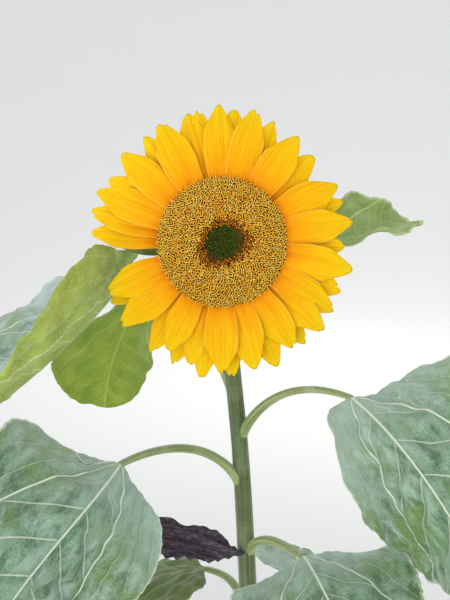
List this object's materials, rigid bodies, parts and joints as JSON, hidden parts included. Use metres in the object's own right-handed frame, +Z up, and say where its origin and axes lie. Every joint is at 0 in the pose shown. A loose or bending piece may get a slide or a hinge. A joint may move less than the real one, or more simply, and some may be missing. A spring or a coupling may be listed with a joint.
{
  "type": "sunflower plant",
  "caption": "Sunflower plant: an upright leafy stem, broad drooping heart-shaped leaves on arched stalks, and a large round flower head ringed with golden rays.",
  "frame": {"origin": "centre of the flat cut under the stem, at ground level", "axes": "+Z up along the stem, -Y the way the flower faces, +X to the right seen from the front"},
  "size_m": [0.556, 0.5004, 1.1664],
  "materials": {
    "stem": "ridged green stem with pale streaks and short white hairs",
    "stalk": "pale yellow-green leaf stalk, grooved and finely hairy",
    "leaf": "matte blue-green leaf with pale raised veins, yellower underneath",
    "withered_leaf": "dry crumpled purple-black leaf",
    "petal": "golden yellow ray petal, orange towards its foot, with fine lengthwise grooves",
    "disc": "close spiral of small golden florets round a green centre",
    "head_green": "hairy green back of the flower head with pointed bracts"
  },
  "bodies": {
    "root": {"stem": "stem", "stalk_left": "stalk", "leaf_left": "leaf", "stalk_right": "stalk", "leaf_right": "leaf", "stalk_low_right": "stalk", "leaf_low_right": "leaf", "stalk_upper_left": "stalk", "leaf_upper_left": "leaf", "stalk_upper_left_back": "stalk", "leaf_upper_left_back": "leaf", "stalk_upper_right": "stalk", "leaf_upper_right": "leaf", "stalk_low_left_back": "stalk", "leaf_low_left_back": "leaf", "stalk_withered": "withered_leaf", "leaf_withered": "withered_leaf", "stalk_lower_1": "stalk", "leaf_lower_1": "leaf", "stalk_lower_2": "stalk", "leaf_lower_2": "leaf", "stalk_lower_3": "stalk", "leaf_lower_3": "leaf", "stalk_lower_4": "stalk", "leaf_lower_4": "leaf", "stalk_lower_5": "stalk", "leaf_lower_5": "leaf", "stalk_lower_6": "stalk", "leaf_lower_6": "leaf", "stalk_lower_7": "stalk", "leaf_lower_7": "leaf", "stalk_lower_8": "stalk", "leaf_lower_8": "leaf", "stalk_lower_9": "stalk", "leaf_lower_9": "leaf", "seed_disc": "disc", "ray_petals_front": "petal", "ray_petals_middle": "petal", "ray_petals_back": "petal", "receptacle": "head_green"}
  },
  "joints": []
}
